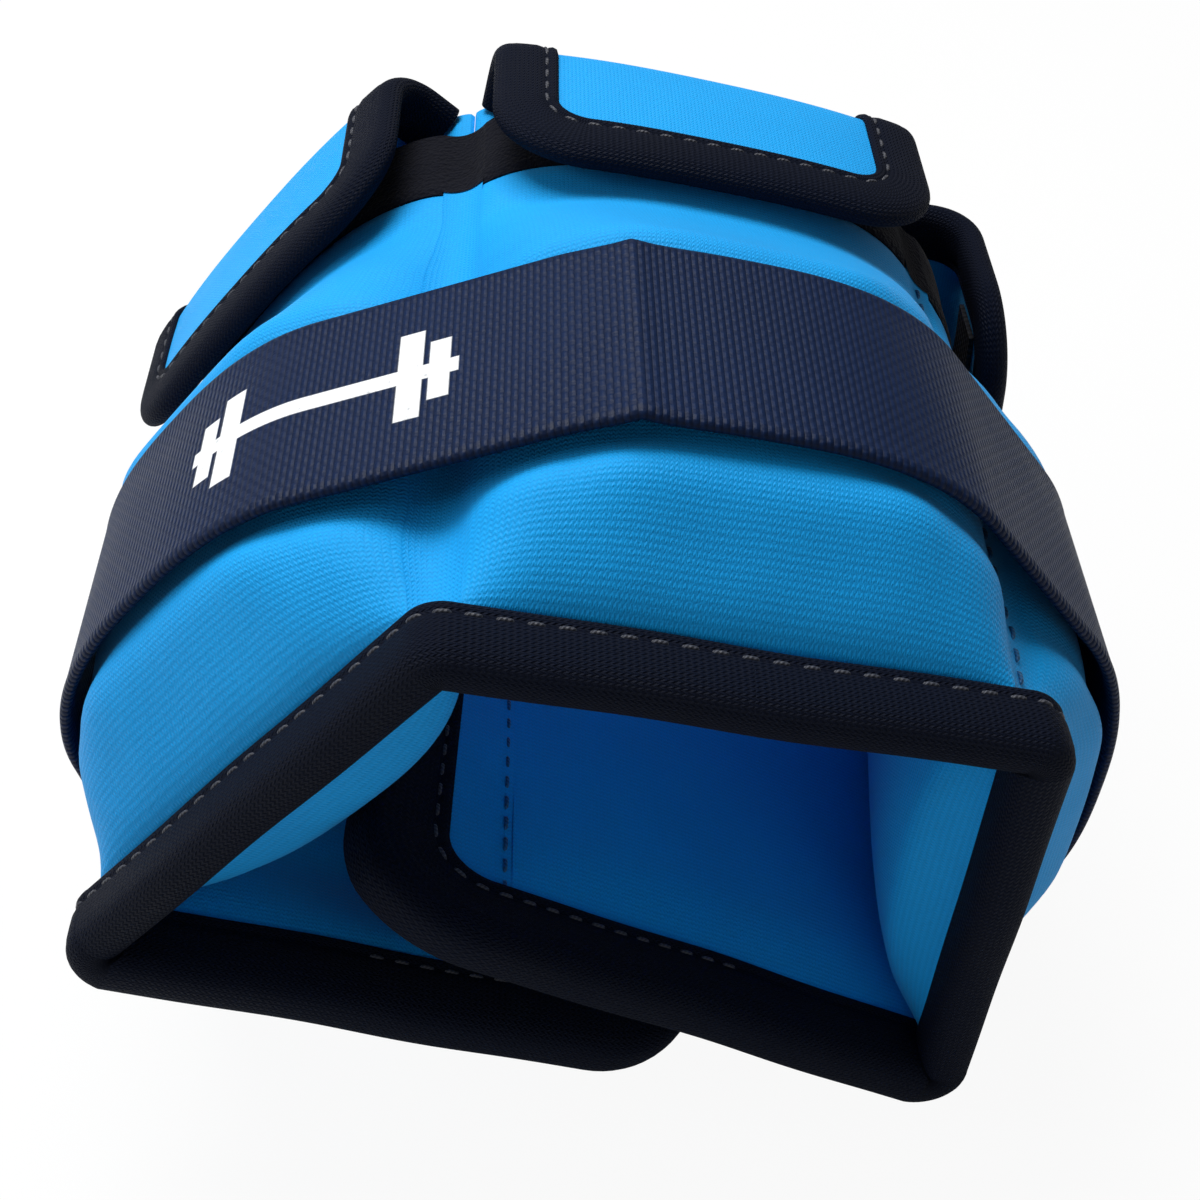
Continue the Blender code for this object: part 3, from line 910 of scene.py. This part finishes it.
def flap_line(x, reach):
    top = flap_top(x)
    fold = np.minimum(FLAP_FOLD, top - FLAP_LOW - 0.001)
    rise = top - fold - FLAP_LOW
    turn = np.clip((reach - rise) / fold, 0.0, math.pi / 2)
    over = np.clip(reach - rise - fold * math.pi / 2, 0.0, None)
    y = FLAP_WALL - fold + fold * np.cos(turn) - over
    return np.stack(np.broadcast_arrays(x, y, FLAP_LOW + np.minimum(reach, rise) + fold * np.sin(turn)), -1)


def flap_surface(x, share):
    step = 2e-4
    x, share = np.broadcast_arrays(np.asarray(x, float), np.asarray(share, float))
    here = flap_line(x, share * flap_full(x))
    more = flap_line(x, (share + step) * flap_full(x)) - here
    wide = flap_line(x + step, share * flap_full(x + step)) - here
    normal = np.cross(more, wide)
    return here, normal / np.linalg.norm(normal, axis=-1, keepdims=True)


def flap_world(k, x, share, out):
    here, normal = flap_surface(x, share)
    spot = here + normal * np.asarray(out)[..., None]
    return world(k, spot[..., 0] + PITCH / 2, spot[..., 1] + LENGTH, spot[..., 2])


FLAP_FULL = float(flap_full(np.array(0.0)))

# %% Flap pieces
FLAP_IN, FLAP_UP = tape_section(FLAP_LEG, TAPE_WIDTH, proud=0.0009)
FLAP_RUN = section_run(FLAP_IN, FLAP_UP)


def flap_pieces(k):
    part = np.linspace(0.0, 1.0, 70)
    to_end = (1 - part) * FLAP_FULL
    short = np.clip(1 - to_end / FLAP_CORNER, 0.0, 1.0)
    half = FLAP_HALF - 0.0005 - FLAP_CORNER * (1 - np.sqrt(1 - short**2))
    x = half[:, None] * np.sin(math.pi * (np.linspace(0, 1, 41) - 0.5))[None, :]
    share = part[:, None] + 0 * x
    crown = 0.0006 * (1 - np.abs(x / FLAP_HALF) ** 3) * smooth(part, 0.3, 0.6)[:, None]
    over = flap_world(k, x, share, 0.0011 + crown)
    under = flap_world(k, x, share, -0.0011 + 0 * x)
    rings = np.concatenate((over, under[:, ::-1]), 1)
    flat = np.stack((x, share * FLAP_FULL), -1) + 0.3 * k
    uv = np.concatenate((flat, flat[:, ::-1], flat[:, :1]), 1)
    panel = loft(f"flap_panel_{k}", rings, uv, BLUE)
    corners = [(FLAP_HALF, 0.0), (FLAP_HALF, FLAP_FULL), (-FLAP_HALF, FLAP_FULL), (-FLAP_HALF, 0.0)]
    path = outline(corners, FLAP_CORNER)

    def tape_at(inset, up):
        spot = path[0][:, None, :] + path[1][:, None, :] * inset[None, :, None]
        return flap_world(k, spot[..., 0], spot[..., 1] / FLAP_FULL, up[None, :] + 0 * spot[..., 0])

    tape = sweep(f"flap_binding_{k}", tape_at(FLAP_IN, FLAP_UP), path[2], FLAP_RUN)
    on = tape_at(np.array([RIM_STITCH]), np.array([FLAP_LEG + FLAP_STITCH_UP]))[:, 0]
    below = tape_at(np.array([RIM_STITCH]), np.array([FLAP_LEG - FLAP_STITCH_UP]))[:, 0]
    keep_line(f"flap_stitches_{k}", on, on - below, lambda o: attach(o, f"flap_{k}_body"), DARK_THREAD)
    across = np.linspace(-0.31, 0.31, 25)[:, None] * PITCH
    back = (LENGTH - FLAP_FREE) * np.linspace(0.36, 0.64, 12)[None, :]
    share = 1 - back / flap_full(across)
    top = flap_world(k, across + 0 * share, share, -0.0012 + 0 * share)
    low = flap_world(k, across + 0 * share, share, -0.0020 + 0 * share)
    flat = np.stack(np.broadcast_arrays(across, back), -1)
    patch = loft(f"flap_hook_patch_{k}", np.concatenate((top, low[:, ::-1]), 1),
                 np.concatenate((flat, flat[:, ::-1], flat[:, :1]), 1), HOOKS)
    for made, node, slot in ((panel, "flap", "neoprene_blue"), (tape, "flap_tape", "binding_black"),
                             (patch, "flap_hook", "hook_black")):
        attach(made, f"flap_{k}_body")
        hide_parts(f"{node}_{k}")


for k in RING:
    flap_pieces(k)
print("five flaps")

# %% Fold between lining and flap
FOLD_RADIUS = 0.0026
FOLD_START = -0.0050   # from the flap's hinge line
FOLD_TOP = 0.0070
FOLD_SIDE = 0.0036


def flap_fold(k):
    """The neoprene turns from the lining up into the flap's wall."""
    half = FABRIC / 2
    turn = np.linspace(0, math.pi / 2, 9)
    y = np.concatenate(([FOLD_START], FLAP_WALL - FOLD_RADIUS + FOLD_RADIUS * np.sin(turn), [FLAP_WALL]))
    v = np.concatenate(([half], half + FOLD_RADIUS - FOLD_RADIUS * np.cos(turn), [FOLD_TOP]))
    ny = np.concatenate(([0.0], np.sin(turn), [1.0]))
    nv = np.concatenate(([-1.0], -np.cos(turn), [0.0]))
    u = np.linspace(FOLD_SIDE, PITCH - FOLD_SIDE, 40)[:, None]
    loop_y = LENGTH + np.concatenate((y + ny * half, (y - ny * half)[::-1]))[None, :]
    loop_v = np.concatenate((v + nv * half, (v - nv * half)[::-1]))[None, :]
    rings = world(k, u, loop_y, loop_v)
    run = lengths(rings[0])
    uv = np.stack(np.broadcast_arrays(u, np.append(run, 0.0)[None, :]), -1)
    made = loft(f"flap_fold_{k}", rings, uv, BLUE)
    tuple(world(k, PITCH / 2, LENGTH - 0.0045, 0.0012))
    tuple(world(k, PITCH / 2, LENGTH - 0.0012, 0.0050))
    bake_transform(made)


for k in RING:
    flap_fold(k)

# %% [markdown]
# ## Strap
# One length of webbing is sewn to the last pocket, runs over all five crowns and closes on
# its own start. Between the crowns it is pulled straight, so each piece from crown to crown
# is one straight span between two curved ends.

# %% Strap line


def crown_point(k, u, lift):
    """Point lifted square off the crown, in the plane across the cuff."""
    step = 1e-5
    slope = (BULGE - FLANGE) * (cad_fullness(u + step) - cad_fullness(u - step)) / (2 * step)
    size = np.hypot(1, slope)
    height = FLANGE + (BULGE - FLANGE) * cad_fullness(u)
    return world(k, u - lift * slope / size, 0.0, height + lift / size)[..., [0, 2]]


KINK_U = 0.27 * PITCH
KINK_LIFT = 0.0016


def crown_line(k):
    u = np.linspace(0.03, 0.97, 80) * PITCH
    lift = STRAP_LIFT + 0 * u
    if k == 3:
        lift = lift + KINK_LIFT * np.exp(-np.abs(u - KINK_U) / 0.0035)
    return u, crown_point(k, u, lift)


def tangent(first, second):
    """Indices of the straight line that touches two lines of points from outside."""
    points = np.concatenate((first, second))
    best = (-1.0, 0, 0)
    for i, p in enumerate(first):
        for j, q in enumerate(second):
            run = q - p
            side = (points[:, 0] - p[0]) * run[1] - (points[:, 1] - p[1]) * run[0]
            worst = side.min() / np.linalg.norm(run)
            if worst > best[0]:
                best = (worst, i, j)
    return best[1], best[2]


LINES = {k: crown_line(k) for k in RING}
TIES = {k: tangent(LINES[k][1], LINES[k + 1][1]) for k in range(1, 5)}
print("strap leaves and meets the crowns at", TIES)

# %% Strap pieces
STRAP_LOW = STRAP_Y - STRAP_WIDTH / 2
NEAR_Y = float(POCKETS[1][0][1])


def strap_section():
    """Closed section of webbing: flat faces and rounded, slightly thicker selvedges."""
    half = STRAP_THICK / 2
    s = np.array([0.0, 0.0004, 0.0012, 0.0022])
    top_s = np.concatenate((s, np.linspace(0.004, STRAP_WIDTH - 0.004, 16), STRAP_WIDTH - s[::-1]))
    edge = np.minimum(top_s, STRAP_WIDTH - top_s)
    top_n = half * np.interp(edge, [0.0, 0.0004, 0.0012, 0.0022, 0.004], [0.35, 0.85, 1.12, 1.05, 1.0])
    return np.concatenate((top_s, top_s[::-1])), np.concatenate((top_n, -top_n[::-1]))


SECTION_S, SECTION_N = strap_section()


def resample(line, step=0.0007):
    run = lengths(line)
    at = np.linspace(0, run[-1], max(4, round(run[-1] / step)))
    return np.stack([np.interp(at, run, line[:, i]) for i in range(2)], -1), at


def strap_rings(line):
    way = np.gradient(line, axis=0)
    way /= np.linalg.norm(way, axis=1, keepdims=True)
    out = np.stack((-way[:, 1], way[:, 0]), -1)
    spot = line[:, None, :] + out[:, None, :] * SECTION_N[None, :, None]
    y = np.broadcast_to(NEAR_Y + STRAP_LOW + SECTION_S, spot.shape[:2])
    return np.stack((spot[..., 0], y, spot[..., 1]), -1)


def strap_piece(name, line, offset, material):
    line, at = resample(line)
    rings = strap_rings(line)
    section = np.append(SECTION_S, SECTION_S[0])
    uv = np.stack(np.broadcast_arrays((at + offset)[:, None], section[None, :]), -1)
    made = loft(name, rings, uv, material, sharp=65)
    return made


def crown_part(k, low, high):
    """Crown line of pocket k between two indices or ends."""
    return LINES[k][1][low:high]


MIDDLE = 40  # index of a crown line's middle point
MARK_PAST_TIE = 0.001
OFFSET = 0.0
for k in range(1, 5):
    leave, meet = TIES[k]
    part = np.concatenate((crown_part(k, MIDDLE, leave + 1), crown_part(k + 1, meet, MIDDLE + 1)))
    if k == 2:
        tie = lengths(crown_part(k, MIDDLE, leave + 1))[-1]
        material = webbing("strap_webbing_marked", OFFSET + tie + MARK_PAST_TIE)
    else:
        material = WEBBING
    made = strap_piece(f"strap_over_seam_{k}", part, OFFSET, material)
    OFFSET += lengths(part)[-1]
    first = LINES[k][1][leave]
    last = LINES[k + 1][1][meet]
    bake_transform(made)
    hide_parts(f"strap_span_{k}")

print("strap laid over four seams,", round(1000 * OFFSET), "mm of it")

# %% Strap tail
tail_low, tail_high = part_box("strap_tail")
peel = JOINTS["strap_tail_peel"]["pos_m"]
tail_z = (tail_low[2] + tail_high[2]) / 2
hinge_at = np.array((peel[0], tail_z))
last_index = int(np.argmin(np.linalg.norm(LINES[1][1] - hinge_at, axis=1)))
head = crown_part(1, last_index, MIDDLE + 1)[::-1]
made = strap_piece("strap_first_pocket", head, 0.0, WEBBING)
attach(made, "pocket_1")
tail_end = np.array((tail_high[0], tail_z))
tail_line = np.concatenate((crown_part(1, last_index, last_index + 8)[::-1], [hinge_at, tail_end]))
tail = strap_piece("strap_tail_end", tail_line, 0.0, WEBBING)
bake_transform(tail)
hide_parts("strap_tail")
for k in RING:
    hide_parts(f"strap_{k}")
hook_node = frame["nodes"]["strap_hook"]
hook_node.data.materials.clear()
hook_node.data.materials.append(HOOKS)
print("strap with its tail")

# %% [markdown]
# ## Weight bags
# Each pocket holds a sewn bag of iron sand: two woven faces, lumpy with sand.

# %% Weight bags


BAG_LIFT = 0.0024
BAG_EDGE = 0.0074
BAG_MIDDLE, BAG_HALF = 0.49 * LENGTH, 0.28 * LENGTH
BAG_LUMP = 0.0005


def weight_piece(k):
    half_u = PITCH / 2 - BAG_EDGE
    around = np.linspace(0, 2 * math.pi, 96, endpoint=False)
    up = np.linspace(-math.pi / 2, math.pi / 2, 41)[:, None]

    def square(x, power=0.55):
        return np.sign(x) * np.abs(x) ** power

    ring = np.cos(up) ** 0.5
    x = half_u * square(np.cos(around))[None, :] * ring
    y = BAG_HALF * square(np.sin(around))[None, :] * ring
    top = VALLEY + (BULGE - VALLEY) * fullness(x + PITCH / 2) * MOUTH_SHARE - FABRIC - 0.0012
    floor = FABRIC + BAG_LIFT
    share = 0.5 + 0.5 * square(np.sin(up), 0.7)
    lump = BAG_LUMP * np.sin(x / 0.004 + k) * np.sin(y / 0.005 + 2 * k) * np.cos(up)
    z = floor + (top - floor) * share - np.abs(lump)
    rings = world(k, x + PITCH / 2, y + BAG_MIDDLE, z)
    uv = np.stack(np.broadcast_arrays(x, y), -1)
    uv = np.concatenate((uv, uv[:, :1]), 1)
    made = loft(f"weight_bag_{k}", rings, uv, BAG, sharp=80)
    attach(made, f"weight_{k}_body")
    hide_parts(f"weight_{k}")


for k in RING:
    weight_piece(k)
print("five weight bags")

# %% [markdown]
# ## Stitches
# A lockstitch shows as short separate floats of thread that dive into the cloth at both
# ends. One float is modelled, and Geometry Nodes lays it along each stored stitch line.

# %% Stitch tool
STITCH_PITCH = 0.0038
STITCH_LONG = 0.0026
THREAD_RADIUS = 0.0003
STITCH_SINK = 0.00045


def stitch_float():
    """One float of thread with both ends sunk into the cloth."""
    along_x = np.linspace(-0.5, 0.5, 9)
    turn = np.linspace(0, 2 * math.pi, 8, endpoint=False)
    size = THREAD_RADIUS * (1 - np.abs(2 * along_x) ** 6) ** 0.5 + 1e-6
    sink = -STITCH_SINK * np.abs(2 * along_x) ** 3
    rings = np.stack((
        np.broadcast_to(STITCH_LONG * along_x[:, None], (9, 8)),
        size[:, None] * np.cos(turn),
        sink[:, None] + size[:, None] * np.sin(turn),
    ), -1)
    uv = np.stack(np.broadcast_arrays(STITCH_LONG * along_x[:, None], np.linspace(0, 0.002, 9)[None, :]), -1)
    made = loft("stitch_float", rings, uv, None)
    made.hide_render = True
    return made


def stitch_tool(template):
    tree = bpy.data.node_groups.new("stitch_run", "GeometryNodeTree")
    face = tree.interface
    face.new_socket("Geometry", in_out="INPUT", socket_type="NodeSocketGeometry")
    pitch = face.new_socket("Pitch", in_out="INPUT", socket_type="NodeSocketFloat")
    cloth = face.new_socket("Thread", in_out="INPUT", socket_type="NodeSocketMaterial")
    face.new_socket("Geometry", in_out="OUTPUT", socket_type="NodeSocketGeometry")

    def add(kind, **values):
        node = tree.nodes.new(kind)
        for key, value in values.items():
            setattr(node, key, value)
        return node

    start, stop = add("NodeGroupInput"), add("NodeGroupOutput")
    curve = add("GeometryNodeMeshToCurve")
    even = add("GeometryNodeResampleCurve", mode="LENGTH")
    way = add("GeometryNodeInputTangent")
    rise = add("GeometryNodeInputNamedAttribute", data_type="FLOAT_VECTOR")
    rise.inputs["Name"].default_value = "rise"
    axes = add("FunctionNodeAxesToRotation", primary_axis="Z", secondary_axis="X")
    source = add("GeometryNodeObjectInfo")
    source.inputs["Object"].default_value = template
    lay = add("GeometryNodeInstanceOnPoints")
    real = add("GeometryNodeRealizeInstances")
    dress = add("GeometryNodeSetMaterial")
    link = tree.links.new
    link(start.outputs["Geometry"], curve.inputs["Mesh"])
    link(curve.outputs["Curve"], even.inputs["Curve"])
    link(start.outputs["Pitch"], even.inputs["Length"])
    link(even.outputs["Curve"], lay.inputs["Points"])
    link(source.outputs["Geometry"], lay.inputs["Instance"])
    link(rise.outputs["Attribute"], axes.inputs["Primary Axis"])
    link(way.outputs["Tangent"], axes.inputs["Secondary Axis"])
    link(axes.outputs["Rotation"], lay.inputs["Rotation"])
    link(lay.outputs["Instances"], real.inputs["Geometry"])
    link(real.outputs["Geometry"], dress.inputs["Geometry"])
    link(start.outputs["Thread"], dress.inputs["Material"])
    link(dress.outputs["Geometry"], stop.inputs["Geometry"])
    return tree, pitch.identifier, cloth.identifier


FLOAT = stitch_float()
TOOL, PITCH_ID, THREAD_ID = stitch_tool(FLOAT)


def lay_stitches(name, points, rise, place, thread_material):
    mesh = bpy.data.meshes.new(name + "_line")
    count = len(points)
    mesh.from_pydata(points.tolist(), [(i, i + 1) for i in range(count - 1)], [])
    up = mesh.attributes.new("rise", "FLOAT_VECTOR", "POINT")
    rise = rise / np.linalg.norm(rise, axis=1, keepdims=True)
    up.data.foreach_set("vector", rise.astype(np.float32).ravel())
    line = new_object(name + "_line", mesh, None)
    tool = line.modifiers.new("stitches", "NODES")
    tool.node_group = TOOL
    tool[PITCH_ID] = STITCH_PITCH
    tool[THREAD_ID] = thread_material
    graph = bpy.context.evaluated_depsgraph_get()
    done = bpy.data.meshes.new_from_object(line.evaluated_get(graph))
    done.name = name
    made = new_object(name, done, None)
    bpy.data.objects.remove(line)
    place(made)
    return len(done.polygons)


# %% Seam stitch lines
for k in range(1, 5):
    ys = np.linspace(0.010, FACE_END - 0.004, 80)
    low = (world(k, PITCH, ys, VALLEY * 0.7) + world(k + 1, 0.0, ys, VALLEY * 0.7)) / 2
    first = world(k, PITCH - SEAM_EDGE, ys, face_height(k, PITCH - SEAM_EDGE, ys))
    last = world(k + 1, SEAM_EDGE, ys, face_height(k + 1, SEAM_EDGE, ys))
    bottom = 0.25 * first + 0.5 * low + 0.25 * last
    out = POCKETS[k][1][2] + POCKETS[k + 1][1][2]
    up = np.broadcast_to(out, bottom.shape)

    def across_seam(o, k=k):
        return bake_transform(o, f"pocket_{k}", f"pocket_{k + 1}",
                        start=tuple(world(k, PITCH - SEAM_EDGE, 0.05, 0.006)),
                        end=tuple(world(k + 1, SEAM_EDGE, 0.05, 0.006)))

    if k > 2:
        keep_line(f"valley_stitches_{k}", bottom + 0.0002 * up, up, across_seam, SEAM_THREAD)
    ys = np.linspace(0.010, LENGTH - 0.010, 80)
    bore = world(k, PITCH - 0.0016, ys, -0.0002)
    up = np.broadcast_to(-POCKETS[k][1][2], bore.shape)
    keep_line(f"bore_stitches_{k}", bore, up, lambda o, k=k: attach(o, f"pocket_{k}"), SEAM_THREAD)

total = sum(lay_stitches(*line) for line in STITCH_LINES)
bpy.data.objects.remove(FLOAT)
print(len(STITCH_LINES), "stitch lines,", total, "faces")

# %% [markdown]
# ## Studio
# A pale floor, a broad soft light above and behind the cuff, and a weak fill in front.

# %% Camera, lights and floor
EYE = Vector((-0.0146, -0.2014, 0.2535))
AZIMUTH = math.radians(4.78)
ELEVATION = math.radians(44.94)
ROLL = math.radians(5.06)
LEVEL = math.cos(ELEVATION)
LOOK = Vector((math.sin(AZIMUTH) * LEVEL, math.cos(AZIMUTH) * LEVEL, -math.sin(ELEVATION)))

camera = bpy.data.objects.new("camera", bpy.data.cameras.new("camera"))
bpy.context.scene.collection.objects.link(camera)
camera.data.sensor_width = 36.0
camera.data.lens = 51.22
camera.data.clip_start = 0.01
camera.location = EYE
camera.rotation_mode = "QUATERNION"
camera.rotation_quaternion = LOOK.to_track_quat("-Z", "Y") @ Quaternion((0, 0, 1), ROLL)
bpy.context.scene.camera = camera


def area_light(name, place, aim, size, power, colour):
    lamp = bpy.data.lights.new(name, "AREA")
    lamp.shape = "RECTANGLE"
    lamp.size, lamp.size_y = size
    lamp.energy = power
    lamp.color = colour
    made = bpy.data.objects.new(name, lamp)
    bpy.context.scene.collection.objects.link(made)
    made.location = place
    made.rotation_mode = "QUATERNION"
    made.rotation_quaternion = (Vector(aim) - Vector(place)).to_track_quat("-Z", "Y")


area_light("top_light", (-0.20, 0.30, 0.75), (0, 0, 0.05), (0.5, 0.4), 7.5, (1.0, 0.99, 0.97))
area_light("left_light", (-0.7, -0.15, 0.45), (0, 0, 0.05), (0.35, 0.35), 1.6, (0.95, 0.98, 1.0))
area_light("front_fill", (0.25, -0.8, 0.35), (0, 0, 0.05), (0.6, 0.5), 0.6, (1.0, 1.0, 1.0))


def floor_material():
    made = bpy.data.materials.new("floor_paint")
    made.use_nodes = True
    tree = made.node_tree
    shader = tree.nodes["Principled BSDF"]
    shader.inputs["Base Color"].default_value = (0.82, 0.83, 0.84, 1)
    shader.inputs["Roughness"].default_value = 0.7
    glow = tree.nodes.new("ShaderNodeEmission")
    glow.inputs["Color"].default_value = (1, 1, 1, 1)
    mixer = tree.nodes.new("ShaderNodeMixShader")
    path = tree.nodes.new("ShaderNodeLightPath")
    share = Num(tree, path.outputs["Is Camera Ray"]) * 0.93
    tree.links.new(share.socket, mixer.inputs["Fac"])
    tree.links.new(shader.outputs[0], mixer.inputs[1])
    tree.links.new(glow.outputs[0], mixer.inputs[2])
    tree.links.new(mixer.outputs[0], tree.nodes["Material Output"].inputs["Surface"])
    return made


floor_mesh = bpy.data.meshes.new("floor")
side, depth = 3.0, -0.001
floor_corners = [(-side, -side, depth), (side, -side, depth), (side, side, depth), (-side, side, depth)]
floor_mesh.from_pydata(floor_corners, [], [(0, 1, 2, 3)])
floor = new_object("floor", floor_mesh, floor_material())

world_light = bpy.data.worlds.new("room")
world_light.use_nodes = True
back = world_light.node_tree.nodes["Background"]
back.inputs["Color"].default_value = (1, 1, 1, 1)
tree = world_light.node_tree
path = tree.nodes.new("ShaderNodeLightPath")
strength = Num(tree, path.outputs["Is Camera Ray"]) * 0.80 + 0.20
tree.links.new(strength.socket, back.inputs["Strength"])
bpy.context.scene.world = world_light
bpy.context.scene.view_settings.view_transform = "Standard"
